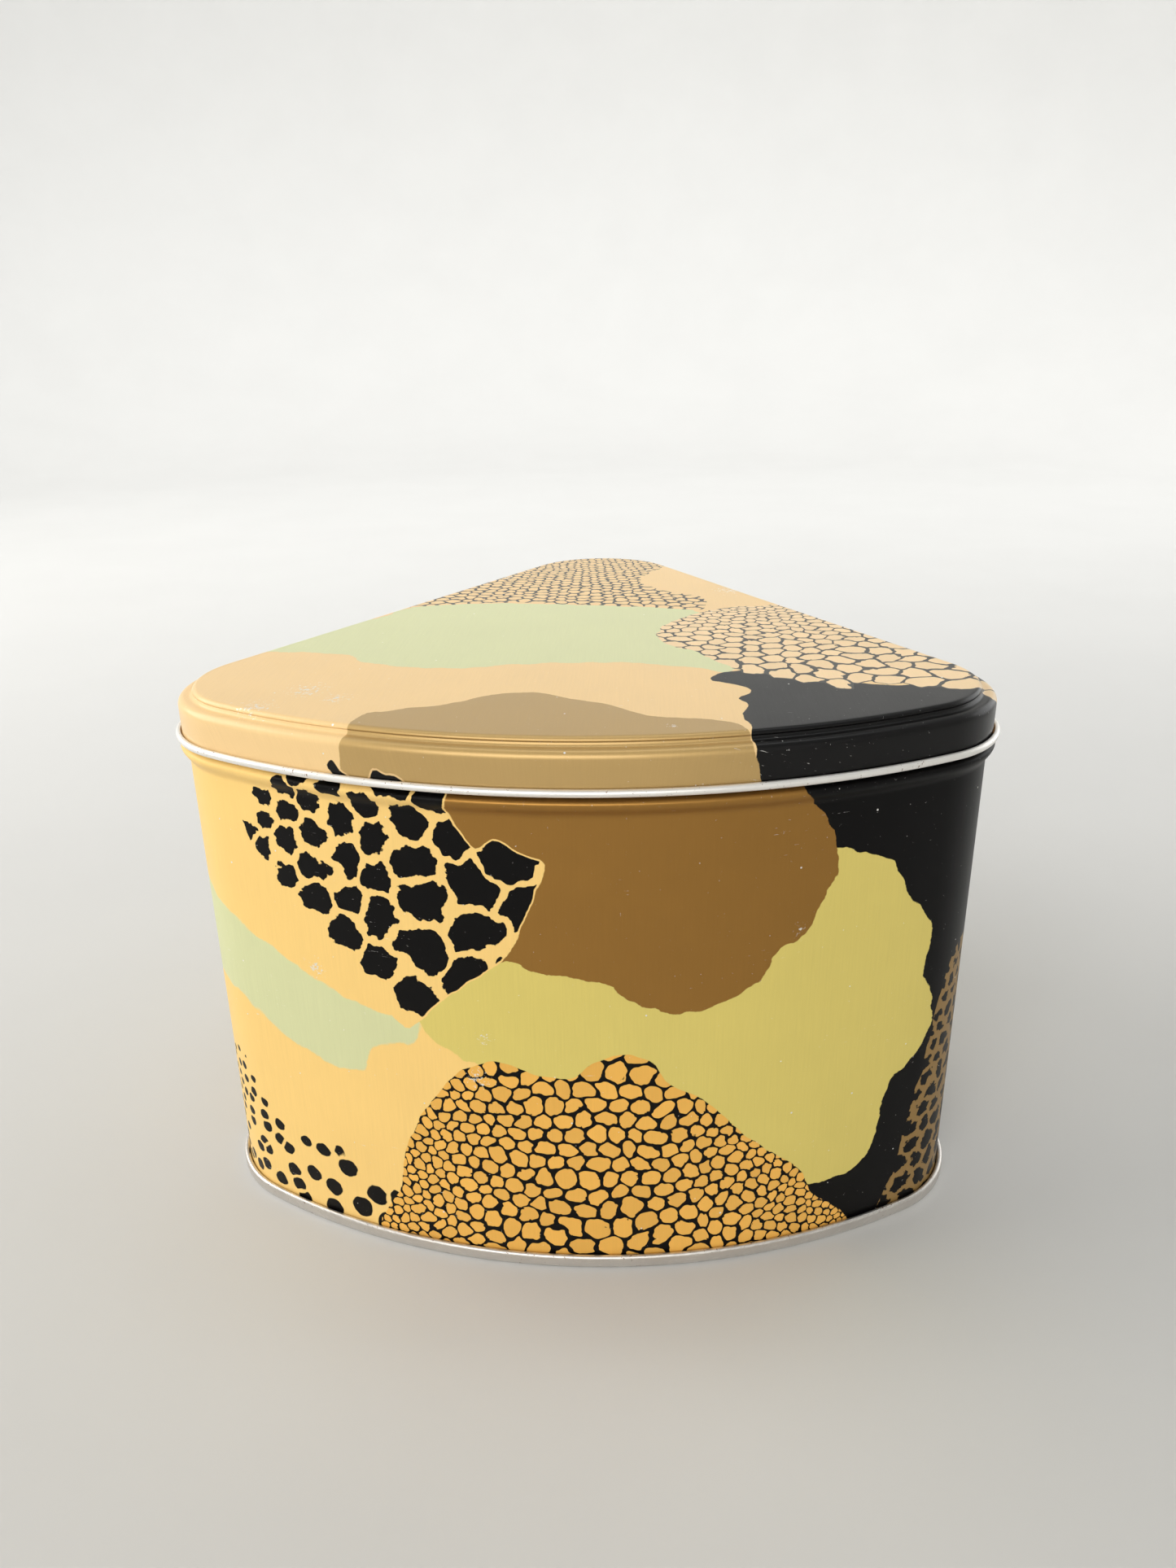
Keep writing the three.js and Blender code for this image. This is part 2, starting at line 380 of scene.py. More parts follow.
# Wall patches: distance along the wall from the front's middle, and height, in millimetres.
WALL_HIDE = [
    [(-82, 126), (-78, 106), (-70, 92), (-56, 79), (-46, 70), (-39, 63), (-31, 71), (-21, 79),
     (-15, 84), (-11, 92), (-8, 100), (-6, 107), (-11, 109), (-16, 112), (-21, 110), (-26, 118),
     (-31, 126)],
    [(-322, 126), (-318, 106), (-308, 92), (-292, 83), (-276, 87), (-264, 97), (-252, 104),
     (-248, 126)],
    [(150, -4), (144, 16), (152, 33), (168, 44), (184, 43), (204, 34), (204, -4)],
]
WALL_COCOA = [
    [(-40, 135), (-30, 80), (-15, 83), (-7, 80), (-2, 80), (6, 78), (13, 73), (23, 70), (31, 71),
     (39, 76), (45, 84), (51, 87), (54, 94), (57, 101), (55, 111), (48, 122), (42, 135)],
    [(-214, -6), (-217, 20), (-208, 38), (-192, 50), (-175, 49), (-161, 41), (-153, 26), (-145, 12),
     (-148, -6)],
    [(-394, 140), (-394, 98), (-380, 86), (-364, 80), (-350, 87), (-340, 100), (-330, 116),
     (-324, 140)],
    [(150, 140), (151, 121), (164, 110), (180, 113), (204, 104), (204, 140)],
]
WALL_LEAF = [
    [(-36, 65), (-44, 90), (10, 96), (52, 106), (62, 104), (70, 101), (75, 94), (78, 89), (84, 83),
     (84, 76), (83, 68), (87, 61), (87, 52), (81, 45), (76, 41), (74, 32), (71, 21), (64, 17),
     (54, 18), (30, 40), (0, 50), (-22, 55)],
    [(-304, 72), (-286, 86), (-262, 89), (-240, 84), (-222, 79), (-206, 83), (-188, 92), (-170, 88),
     (-157, 77), (-151, 62), (-162, 50), (-180, 42), (-200, 46), (-220, 37), (-244, 34),
     (-264, 42), (-286, 46), (-300, 56)],
    [(-394, 90), (-394, 60), (-380, 52), (-362, 55), (-346, 58), (-334, 68), (-327, 82), (-334, 96),
     (-352, 92)],
    [(144, 64), (150, 84), (158, 102), (174, 117), (204, 112), (204, 52), (184, 48), (168, 50),
     (154, 54)],
]
WALL_PEBBLE = [
    [(-43, -4), (-44, 18), (-40, 34), (-33, 46), (-27, 53), (-19, 57), (-9, 54), (-1, 54), (4, 58),
     (11, 60), (17, 57), (21, 51), (29, 46), (36, 38), (44, 30), (51, 24), (56, 15), (62, -4)],
    [(-334, -4), (-336, 20), (-324, 37), (-306, 49), (-289, 52), (-272, 46), (-258, 49), (-246, 41),
     (-236, 24), (-230, -4)],
]
WALL_SOOT = [
    [(40, 140), (50, 60), (58, -10), (142, -10), (150, 20), (140, 48), (152, 78), (142, 110),
     (148, 140)],
    [(-394, -10), (-394, 36), (-378, 48), (-358, 45), (-344, 33), (-334, 12), (-332, -10)],
    [(-262, 140), (-257, 112), (-241, 98), (-219, 94), (-204, 103), (-190, 117), (-172, 123),
     (-160, 140)],
]
WALL_LACE = [
    [(96, 72), (90, 62), (88, 50), (86, 40), (83, 28), (81, 14), (79, -6), (132, -6), (136, 30),
     (124, 58), (112, 72)],
    [(-248, 140), (-243, 116), (-224, 104), (-209, 110), (-202, 140)],
]
WALL_MINT = [
    [(-206, 116), (-190, 110), (-170, 100), (-150, 92), (-132, 93), (-112, 91), (-96, 86), (-80, 79),
     (-62, 71), (-46, 66), (-36, 66), (-38, 60), (-48, 56), (-52, 49), (-64, 49), (-78, 55),
     (-92, 61), (-112, 60), (-132, 68), (-150, 74), (-170, 82), (-192, 96), (-206, 104)],
]
WALL_DOTS = [
    [(-140, 30), (-124, 42), (-106, 43), (-92, 40), (-82, 27), (-70, 22), (-56, 21), (-47, 17),
     (-44, 8), (-46, -6), (-138, -6)],
]
# Shallow dents in the wall: distance along it, height, radius and depth, in millimetres.
WALL_DENTS = [(2, 106, 2.6, 0.11), (-62, 86, 7, 0.10), (66, 96, 6, 0.14), (28, 28, 9, 0.08),
              (-182, 66, 10, 0.18), (-300, 60, 8, 0.16), (166, 72, 10, 0.18), (-350, 40, 9, 0.16)]

# Fans of cells on the wall: centre, fineness, starting radius and starting angle in degrees.
HIDE_FANS = [((-124, 145), 9.3, 57, -45), ((-350, 150), 8.5, 40, -70), ((246, 30), 7.5, 40, 150)]
LACE_FAN = ((40, 150), 23.0, 50, -60)
DOTS_FAN = ((-130, 40), 9.6, 20, -20)
# Domes of cells on the wall: foot of the upright line, width, and the size of a cell there.
PEBBLE_DOMES = [((4, 28), 38.0, 4.9), ((-290, 22), 38.0, 4.9)]

# Lid patches: the flat blank seen from above, before the edge was drawn down, in millimetres.
LID_COCOA = [
    [(-46, -120), (-46, -80), (-41, -75), (-35, -72), (-27, -69), (-21, -64), (-14, -61.5),
     (-8, -62), (-2, -66), (5, -69), (11, -74), (17, -78), (26, -79), (33, -82), (36, -88),
     (39, -96), (47, -108), (50, -120)],
    [(-92, 20), (-70, 44), (-48, 78), (-30, 104), (-64, 110), (-110, 60)],
]
LID_SOOT = [
    [(30, -52), (32, -47), (37, -44), (42, -43), (47, -47), (54, -51), (62, -54), (70, -56),
     (80, -55), (90, -57), (104, -62), (112, -90), (80, -120), (50, -122), (42, -106), (37, -92),
     (36, -83), (35, -76), (37, -70), (35, -66), (38, -61), (36, -56)],
]
LID_COBBLE = [
    [(18, -10), (22, 2), (32, 14), (46, 20), (70, 16), (110, -20), (120, -60), (90, -72), (44, -52),
     (34, -40), (27, -28), (20, -20)],
]
LID_MINT = [
    [(-124, -36), (-112, 4), (-66, 4), (-52, 20), (-28, 24), (-4, 22), (14, 20), (28, 16), (30, 2),
     (20, -8), (22, -20), (30, -30), (36, -40), (34, -46), (26, -42), (12, -38), (-10, -38),
     (-34, -42), (-52, -38), (-62, -30), (-84, -28), (-100, -33)],
]
LID_GRAVEL = [
    [(-84, 22), (-66, 17), (-44, 22), (-24, 25), (0, 22), (16, 19), (30, 16), (32, 30), (20, 40), (13, 52),
     (16, 66), (22, 80), (18, 112), (-24, 130), (-84, 60)],
]
LID_BLOTS = [
    [(-53.8, -92.4), (-51.8, -91.2), (-50.8, -94.0), (-49.2, -96.6), (-49.6, -106), (-55, -106),
     (-52.8, -95.8)],
    [(-45.2, -98.6), (-43.8, -96.6), (-42.4, -95.2), (-40.4, -96.5), (-38.2, -97.0), (-36.2, -99.6),
     (-35, -106), (-46, -106)],
]


# Fans of cells on the lid's blank, given as on the wall.
COBBLE_FAN = ((48, 62), 15.6, 108.8, -97.4)
GRAVEL_FAN = ((-10, 190), 40.0, 100, -90)

# Rubbed spots on the wall and on the lid's blank: middle and radius, in millimetres.
WALL_RUBS = [(-23, 52, 5.0), (-21, 63, 3.0), (-62, 74, 4.5), (49, 88, 2.5),
             (160, 118, 9.0), (-170, 20, 8.0), (-287, 60, 7.0), (120, 10, 5.0)]
LID_RUBS = [(-62, -60, 9.0), (-54, -66, 6.0), (-70, -72, 8.0), (20, -84, 2.5), (40, 40, 8.0),
            (-30, 60, 6.0), (28, -101, 3.0)]


def flat_vectors(places):
    """Places in two dimensions as vectors, with 0 for the third part."""
    return np.concatenate([places, np.zeros((len(places), 1))], -1)


def wall_values(places):
    """The wall's print: distances to its patches, and the cell coordinates inside them."""
    hide, which_hide = patches(places, WALL_HIDE)
    pebble, which_pebble = patches(places, WALL_PEBBLE)
    lace, _ = patches(places, WALL_LACE)
    cocoa, leaf, soot, mint, dots = (
        patches(places, group)[0] for group in (WALL_COCOA, WALL_LEAF, WALL_SOOT, WALL_MINT, WALL_DOTS))
    return {
        "patch_a": np.stack([hide, cocoa, leaf], -1),
        "patch_b": np.stack([pebble, soot, lace], -1),
        "patch_c": np.stack([mint, dots, np.full(len(places), 99.0)], -1),
        "hide_cells": choose(which_hide, [fan_cells(places, *fan) for fan in HIDE_FANS]),
        "pebble_cells": choose(which_pebble, [dome_cells(places, *dome) for dome in PEBBLE_DOMES]),
        "lace_cells": fan_cells(places, *LACE_FAN),
        "dots_cells": fan_cells(places, *DOTS_FAN),
        "print": flat_vectors(places),
    }


def lid_values(places):
    """The lid's print, laid out on its flat blank."""
    cocoa, soot, cobble, mint, gravel, blots = (
        patches(places, group)[0]
        for group in (LID_COCOA, LID_SOOT, LID_COBBLE, LID_MINT, LID_GRAVEL, LID_BLOTS))
    return {
        "patch_a": np.stack([blots, cocoa, mint], -1),
        "patch_b": np.stack([cobble, soot, gravel], -1),
        "cobble_cells": fan_cells(places, *COBBLE_FAN),
        "gravel_cells": fan_cells(places, *GRAVEL_FAN),
        "print": flat_vectors(places),
    }


# ---------------------------------------------------------------- shader expressions

class Signal:
    """A node socket that takes arithmetic as a number does. Each operator adds one Math node."""

    def __init__(self, finish, socket):
        self.finish = finish
        self.socket = socket

    def math(self, operation, *others):
        """One Math node, with this signal as its first input."""
        return self.finish.node("ShaderNodeMath", {"operation": operation}, dict(enumerate((self, *others))))

    def __add__(self, other):
        return self.math("ADD", other)

    def __sub__(self, other):
        return self.math("SUBTRACT", other)

    def __mul__(self, other):
        return self.math("MULTIPLY", other)

    def __truediv__(self, other):
        return self.math("DIVIDE", other)

    def __rsub__(self, other):
        return self.finish.node("ShaderNodeMath", {"operation": "SUBTRACT"}, {0: other, 1: self})

    __radd__ = __add__
    __rmul__ = __mul__

    def at_least(self, other):
        return self.math("MAXIMUM", other)

    def at_most(self, other):
        return self.math("MINIMUM", other)

    def wrapped(self, half):
        """The signal brought between -half and half by whole steps."""
        return self.math("WRAP", half, -half)

    def clamped(self):
        return self.finish.node(
            "ShaderNodeMath", {"operation": "MULTIPLY", "use_clamp": True}, {0: self, 1: 1.0})

    def above(self, level, blur):
        """1 where the signal is over level, 0 under it, with a straight blend blur wide."""
        return ((self - level) * (1 / blur) + 0.5).clamped()

    def stretched(self, factors):
        """This vector, multiplied part by part."""
        return self.finish.node("ShaderNodeVectorMath", {"operation": "MULTIPLY"}, {0: self, 1: factors})

    def moved(self, amount):
        """This vector plus another."""
        return self.finish.node("ShaderNodeVectorMath", {"operation": "ADD"}, {0: self, 1: amount})


class Finish:
    """A material under construction. node() adds any node and returns one of its outputs."""

    def __init__(self, name):
        self.material = bpy.data.materials.new(name)
        self.material.use_nodes = True
        self.tree = self.material.node_tree
        self.shader = self.tree.nodes["Principled BSDF"]

    def node(self, kind, settings=None, inputs=None, output=0):
        made = self.tree.nodes.new(kind)
        for key, value in (settings or {}).items():
            setattr(made, key, value)
        for key, value in (inputs or {}).items():
            self.feed(made.inputs[key], value)
        return Signal(self, made.outputs[output])

    def feed(self, socket, value):
        if isinstance(value, Signal):
            self.tree.links.new(value.socket, socket)
        elif isinstance(value, (int, float)):
            socket.default_value = value
        else:
            value = tuple(value)
            socket.default_value = (*value, 1.0) if socket.type == "RGBA" and len(value) == 3 else value

    def set(self, **sockets):
        """Values or signals for the shader's own sockets, with _ for a space in a name."""
        for key, value in sockets.items():
            self.feed(self.shader.inputs[key.replace("_", " ")], value)

    def attribute(self, name):
        return self.node("ShaderNodeAttribute", {"attribute_name": name}, output="Vector")

    def parts(self, vector):
        """A vector's three parts as signals."""
        split = self.node("ShaderNodeSeparateXYZ", inputs={0: vector}).socket.node
        return [Signal(self, socket) for socket in split.outputs]

    def noise(self, vector, scale, detail=3.0, roughness=0.55):
        return self.node(
            "ShaderNodeTexNoise", inputs={"Vector": vector, "Scale": scale, "Detail": detail,
                                          "Roughness": roughness})

    def jitter(self, vector, scale, amount):
        """The vector shaken by coloured noise, amount being the whole swing."""
        shake = self.node(
            "ShaderNodeTexNoise", inputs={"Vector": vector, "Scale": scale, "Detail": 2.0}, output="Color")
        centred = shake.moved((-0.5, -0.5, -0.5)).stretched((amount, amount, 0.0))
        return vector.moved(centred)

    def cells(self, vector, feature, randomness, output="Distance"):
        return self.node(
            "ShaderNodeTexVoronoi", {"voronoi_dimensions": "2D", "feature": feature},
            {"Vector": vector, "Scale": 1.0, "Randomness": randomness}, output)

    def mix(self, factor, under, over):
        return self.node("ShaderNodeMix", {"data_type": "RGBA"}, {0: factor, 6: under, 7: over}, output=2)

    def lerp(self, factor, low, high):
        return self.node("ShaderNodeMix", inputs={0: factor, 2: low, 3: high})

    def tint(self, colour, amount):
        """The colour made lighter or darker by a signal that is about 1."""
        grey = self.node("ShaderNodeCombineXYZ", inputs={0: amount, 1: amount, 2: amount})
        return self.node("ShaderNodeVectorMath", {"operation": "MULTIPLY"}, {0: colour, 1: grey})


def patch_mask(distance, ragged, blur=0.16):
    """1 inside a patch whose edge is shaken in and out by the ragged signal, in millimetres."""
    return (ragged - distance).above(0.0, blur)


def honeycomb(finish, coordinates):
    """Six-sided cells one unit wide. Their middles are two square-cornered lattices, each the other's
    shifted by half a step both ways, and a place belongs to the nearer middle. Gives the places
    within the cell, and the distance to its nearest side."""
    across, up, _ = finish.parts(coordinates)
    tall = math.sqrt(3) / 2
    first = [across.wrapped(0.5), up.wrapped(tall)]
    second = [(across - 0.5).wrapped(0.5), (up - tall).wrapped(tall)]
    far_first, far_second = (x * x + y * y for x, y in (first, second))
    nearer = (far_first - far_second).above(0.0, 1e-5)
    x, y = (finish.lerp(nearer, a, b) for a, b in zip(first, second))
    wide = x.math("ABSOLUTE")
    side = wide.at_least(wide * 0.5 + y.math("ABSOLUTE") * tall)
    return x, y, 0.5 - side


def cobbled(finish, coordinates, joint, corner, blur=0.18, slope=None):
    """Rounded six-sided stones: 1 on a stone, 0 in its joints, which widen with the stones' size and
    where three stones meet. Also gives a random shade for each stone, and, with a slope, 1 for the
    stones whose middles lie before the starting line, which leans by the slope."""
    _, _, size = finish.parts(coordinates)
    shaken = finish.jitter(finish.jitter(coordinates, 0.33, 1.15), 1.05, 0.70)
    across, up, _ = finish.parts(shaken)
    x, y, gap = honeycomb(finish, shaken)
    reach = (x * x + y * y).math("SQRT")
    notch = (finish.noise(shaken, 2.3, 2.0) - 0.60).at_least(0.0) * 0.9
    stone = (gap - (reach - 0.42).at_least(0.0) * corner - notch) * size
    stone = stone.above(size * joint + 0.03, blur)
    middle_across, middle_up = across - x, up - y
    name = finish.node("ShaderNodeCombineXYZ", inputs={
        0: (middle_across * 2).math("ROUND"), 1: (middle_up / (math.sqrt(3) / 2)).math("ROUND")})
    shade = finish.node("ShaderNodeTexWhiteNoise", inputs={"Vector": name})
    if slope is None:
        return stone, shade
    return stone, shade, 1 - (middle_across - middle_up * slope).above(0.0, 0.02)


# ---------------------------------------------------------------- finishes

def ragged_edge(finish, places):
    """Wavy and toothed swing of the patches' edges, in millimetres."""
    waves = finish.noise(places, 0.16, 1.0) - 0.5
    teeth = finish.noise(places, 0.9, 2.0) - 0.5
    return waves * 3.2 + teeth * 0.7


def hide_ink(finish, colour, patch, distance, ragged, places, coordinates, ground, soot):
    """Black ragged blots on a ground-coloured net, which covers the patch. Blots whose middles aren't
    past the fan's two starting lines are left out, so that those edges show whole ones only."""
    _, _, size = finish.parts(coordinates)
    shaken = finish.jitter(finish.jitter(coordinates, 0.37, 0.9), 0.95, 0.75)
    across, up, _ = finish.parts(shaken)
    x, y, gap = honeycomb(finish, shaken)
    reach = (x * x + y * y).math("SQRT")
    swell = finish.noise(places, 0.085, 1.0) - 0.5
    teeth = finish.noise(places, 0.5, 2.0, 0.5) - 0.5
    rim = (gap - (reach - 0.42).at_least(0.0) * 0.4) * size + teeth * 2.6 + swell * 1.6
    blots = rim.above(0.95, 0.14) * (ragged * 0.6 - distance).above(0.4, 0.14)
    blots = blots * (across - x).above(0.25, 0.02) * (up - y).above(0.25, 0.02)
    return finish.mix(blots, finish.mix(patch, colour, ground), soot)


def wall_ink(finish, inks):
    """The wall's print from the ground up. Returns the colour and how metallic the ink looks."""
    places = finish.attribute("print")
    hide, cocoa, leaf = finish.parts(finish.attribute("patch_a"))
    pebble, soot, lace = finish.parts(finish.attribute("patch_b"))
    mint, dots, _ = finish.parts(finish.attribute("patch_c"))
    ragged = ragged_edge(finish, places)
    colour = finish.mix(patch_mask(mint, ragged, 0.5), inks.honey, inks.mint)

    dot_cells = finish.attribute("dots_cells")
    _, _, dot_size = finish.parts(dot_cells)
    dot_cells = finish.jitter(dot_cells, 2.0, 0.2)
    dot_gap = finish.cells(dot_cells, "DISTANCE_TO_EDGE", 0.7) * dot_size
    disc = (0.40 - finish.cells(dot_cells, "F1", 0.7)) * dot_size
    shrinking = ((ragged * 0.5 - dots) * 0.5).at_most(0.45)
    dot = (dot_gap.at_most(disc) + shrinking).above(0.9, 0.2)
    colour = finish.mix(dot, colour, inks.soot)

    black = patch_mask(soot, ragged)
    colour = finish.mix(black, colour, inks.soot)
    lace_cells = finish.attribute("lace_cells")
    _, _, lace_size = finish.parts(lace_cells)
    _, _, lace_gap = honeycomb(finish, finish.jitter(lace_cells, 1.1, 0.9))
    torn = finish.noise(places, 0.5, 3.0) - 0.5
    thread = 1 - (lace_gap * lace_size + torn * 3.2).above(0.95, 0.2)
    colour = finish.mix(thread * patch_mask(lace, ragged * 0.8), colour, inks.fawn)

    green = patch_mask(leaf, ragged)
    colour = finish.mix(green, colour, inks.leaf)
    brown = patch_mask(cocoa, ragged)
    colour = finish.mix(brown, colour, inks.cocoa)

    stones, shade = cobbled(finish, finish.attribute("pebble_cells"), 0.042, 2.1)
    amber = finish.tint(inks.amber, 0.93 + shade * 0.14)
    dome = patch_mask(pebble, ragged * 0.5)
    colour = finish.mix(dome, colour, finish.mix(stones, inks.soot, amber))
    net = patch_mask(hide, ragged * 0.6)
    colour = hide_ink(
        finish, colour, net, hide, ragged, places, finish.attribute("hide_cells"), inks.honey, inks.soot)
    return colour, brown * (1 - dome) * (1 - net)


def lid_ink(finish, inks):
    """The lid's print from the ground up. Returns the colour and how metallic the ink looks."""
    places = finish.attribute("print")
    blots, cocoa, mint = finish.parts(finish.attribute("patch_a"))
    cobble, soot, gravel = finish.parts(finish.attribute("patch_b"))
    ragged = ragged_edge(finish, places)
    colour = finish.mix(patch_mask(mint, ragged), inks.peach, inks.mint)

    grit, _ = cobbled(finish, finish.attribute("gravel_cells"), 0.08, 0.5)
    grey = finish.mix(grit, inks.slate, inks.peach)
    colour = finish.mix(patch_mask(gravel, ragged), colour, grey)

    colour = finish.mix(patch_mask(soot, ragged * 0.6), colour, inks.soot)
    stones, shade, laid = cobbled(
        finish, finish.attribute("cobble_cells"), 0.05, 0.35, slope=0.333)
    stone_colour = finish.tint(inks.cream, 0.96 + shade * 0.08)
    cobbles = finish.mix(stones, inks.slate, stone_colour)
    colour = finish.mix(patch_mask(cobble, ragged) * laid, colour, cobbles)
    brown = patch_mask(cocoa, ragged * 0.6)
    # The lid's brown patches take khaki: the cocoa ink made paler, with painted sheen in it.
    colour = finish.mix(brown, colour, inks.khaki_with_sheen)
    rough = ragged * 0.3
    colour = finish.mix(patch_mask(blots, rough + 0.45), colour, inks.peach)
    return finish.mix(patch_mask(blots, rough), colour, inks.soot), brown * 0.6


def tinplate_look(finish, inks, places, sharpness):
    """Bare tinplate: rolling marks along one way, soft clouding, and small dark stains, of which
    there are more on sharp bends."""
    rolling = finish.noise(places.stretched((3.0, 0.05, 1.0)), 1.0, 4.0, 0.7)
    cloud = finish.noise(places, 0.12, 3.0)
    stain = (finish.noise(places, 1.1, 4.0, 0.7) + cloud * 0.3 + sharpness * 0.03).above(0.85, 0.05)
    colour = finish.tint(inks.tinplate, 0.92 + rolling * 0.06 + cloud * 0.08)
    colour = finish.mix(stain * 0.8, colour, inks.rust)
    return colour, 0.30 + rolling * 0.08 + cloud * 0.12 + stain * 0.35, stain


def rubbed_spots(finish, places, spots):
    """1 near the middles of the given spots, 0 past their radii."""
    nearest = None
    for x, y, radius in spots:
        away = finish.node("ShaderNodeVectorMath", {"operation": "DISTANCE"},
                           {0: places, 1: (x, y, 0)}, output="Value")
        here = (1 - away * (1 / radius)).clamped()
        nearest = here if nearest is None else nearest.at_least(here)
    return nearest


# Width of the bare strip that the print leaves on each side of the seam, in millimetres.
UNPRINTED_STRIP = 0.8
# How metallic the brown inks and worn or bare places look.
METALLIC_INK, BARE_METAL = 0.8, 0.62


def printed_finish(name, paint, inks, varnish, spots):
    """Printed tinplate: inks under a satin varnish with a faint upright grain, chipped along its
    bends, scratched and specked, and bare metal on its other face."""
    finish = Finish(name)
    places = finish.attribute("print")
    bend_sharpness, margin, _ = finish.parts(finish.attribute("sheet"))
    colour, metallic_ink = paint(finish, inks)

    grain = finish.noise(places.stretched((2.6, 0.07, 1.0)), 1.0, 4.0, 0.65)
    cloud = finish.noise(places, 0.045, 3.0)
    colour = finish.tint(colour, 0.90 + grain * 0.12 + cloud * 0.08)

    fine = finish.noise(places, 0.9, 5.0, 0.75)
    coarse = finish.noise(places, 0.06, 2.0)
    chips = (fine + coarse * 0.35 + bend_sharpness * 0.075).above(0.965, 0.03)
    speck_places = places.stretched((0.06, 0.06, 1.0))
    speck_size, _, _ = finish.parts(finish.cells(speck_places, "F1", 1.0, "Color"))
    specks = (speck_size * 0.021 - finish.cells(speck_places, "F1", 1.0)).above(0.006, 0.005)
    scuff_patch = finish.noise(places, 0.028, 2.0).above(0.60, 0.06)
    scuff = finish.noise(places.stretched((0.25, 2.4, 1.0)), 1.0, 3.0, 0.7).above(0.69, 0.03)
    handled = (fine + rubbed_spots(finish, places, spots) * 0.18).above(0.69, 0.03)
    worn = chips.at_least(specks).at_least(scuff * scuff_patch * 0.7).at_least(handled * 0.85)

    metal, metal_roughness, _ = tinplate_look(finish, inks, places, bend_sharpness)
    bare = worn.at_least(1 - margin.above(UNPRINTED_STRIP, 0.15))
    finish.set(
        Base_Color=finish.mix(bare, colour, metal),
        Metallic=finish.lerp(bare, metallic_ink * METALLIC_INK, BARE_METAL),
        Roughness=finish.lerp(bare, 0.33 + grain * 0.08 + cloud * 0.08, metal_roughness),
        Coat_Weight=finish.lerp(bare, varnish, 0.0),
        Coat_Roughness=0.2,
        Specular_IOR_Level=0.12)
    dirt = finish.noise(places, 0.5, 2.0)
    height = (grain * 0.35 + dirt * 0.25) * (1 - bare * 0.8) - worn * 0.9
    bump = finish.node("ShaderNodeBump", inputs={"Strength": 0.35, "Distance": 0.00004, "Height": height},
                       output="Normal")
    finish.set(Normal=bump)
    return finish.material


def tinplate_finish(name, inks):
    """Bare tinplate all over, duller and darker in its folds. Its colour is also dimmed all over as painted
    shade, less where rubbed scuffs are.
    """
    finish = Finish(name)
    places = finish.attribute("print")
    sharpness, _, _ = finish.parts(finish.attribute("sheet"))
    colour, roughness, stain = tinplate_look(finish, inks, places, sharpness)
    scuff = finish.noise(places.stretched((0.35, 1.6, 1.0)), 1.0, 4.0, 0.7)
    rubbed = (scuff + sharpness * 0.06).above(0.62, 0.1)
    grime = finish.noise(places, 0.09, 3.0)
    # Painted shade: the tinplate's colour is dimmed to 0.86 of itself, rising to 0.98 on rubbed scuffs,
    # which are wear.
    colour = finish.mix(0.05 + grime * 0.2, finish.tint(colour, 0.86 + rubbed * 0.12), inks.rust)
    bump = finish.node("ShaderNodeBump", inputs={"Strength": 0.3, "Distance": 0.00005,
                                                 "Height": scuff - stain}, output="Normal")
    finish.set(Base_Color=colour, Metallic=0.9, Roughness=roughness + rubbed * 0.06, Normal=bump)
    return finish.material


# ---------------------------------------------------------------- the tin's pieces

# Margin inside or outside the print where no edge of it is near, in millimetres.
WELL_INSIDE = 9.0
# Rings on a panel's face that stays plain.
PLAIN_RINGS = 5


def sheet_values(section, side, printed_side, rows):
    """For each row: how sharply this face bends outwards, how far inside the print it is, in
    millimetres, which is well outside on the face without print, and 0."""
    convex = (section.curvature * side)[rows].clip(-3, 3)
    margin = np.full(len(rows), WELL_INSIDE if side == printed_side else -WELL_INSIDE)
    return np.stack([convex, margin, np.zeros(len(rows))], -1)


def panel_rings(edge, rings):
    """Rows of a flat panel: the edge's ring scaled towards the middle, in even steps."""
    share = np.linspace(0.02, 1.0, rings, endpoint=False)
    return edge[:, None] * np.array([1.0, 1.0, 0.0]) * share[None, :, None] + (
        edge[:, None] * np.array([0.0, 0.0, 1.0]))


def capped_face(plan, stations, section, half, side, rings, printed_side):
    """One face of a capped sheet: its panel's rings and its swept section, with the places on the
    flat blank, which keep their distance along the section, and the sheet values of its rows."""
    face = sweep(plan, stations, section.face(side, half)[None])
    panel = panel_rings(face[:, 0], rings)
    values = sheet_values(section, side, printed_side, np.arange(len(section.points)))
    flat = np.repeat([[0.0, values[0, 1], 0.0]], rings, 0)
    point, normal = plan.at(stations)
    developed = section.points[0, 0] + section.distance
    blank = point[:, None] + normal[:, None] * developed[None, :, None]
    return (np.concatenate([panel, face], 1), np.concatenate([panel[..., :2], blank], 1),
            np.concatenate([flat, values]))


def middle_fans(columns, rows):
    """Triangles from a grid's first and last rows to two middle points, which come after the grid's
    own. Also gives each corner's place in a grid with one more column."""
    here = np.arange(columns) * rows
    there = (np.arange(columns) + 1) % columns * rows
    under = np.full(columns, columns * rows)
    fans = [np.stack([under, there, here], -1),
            np.stack([under + 1, here + rows - 1, there + rows - 1], -1)]
    there = here + rows
    under = np.full(columns, (columns + 1) * rows)
    corners = [np.stack([under, there, here], -1),
               np.stack([under + 1, here + rows - 1, there + rows - 1], -1)]
    return fans, corners


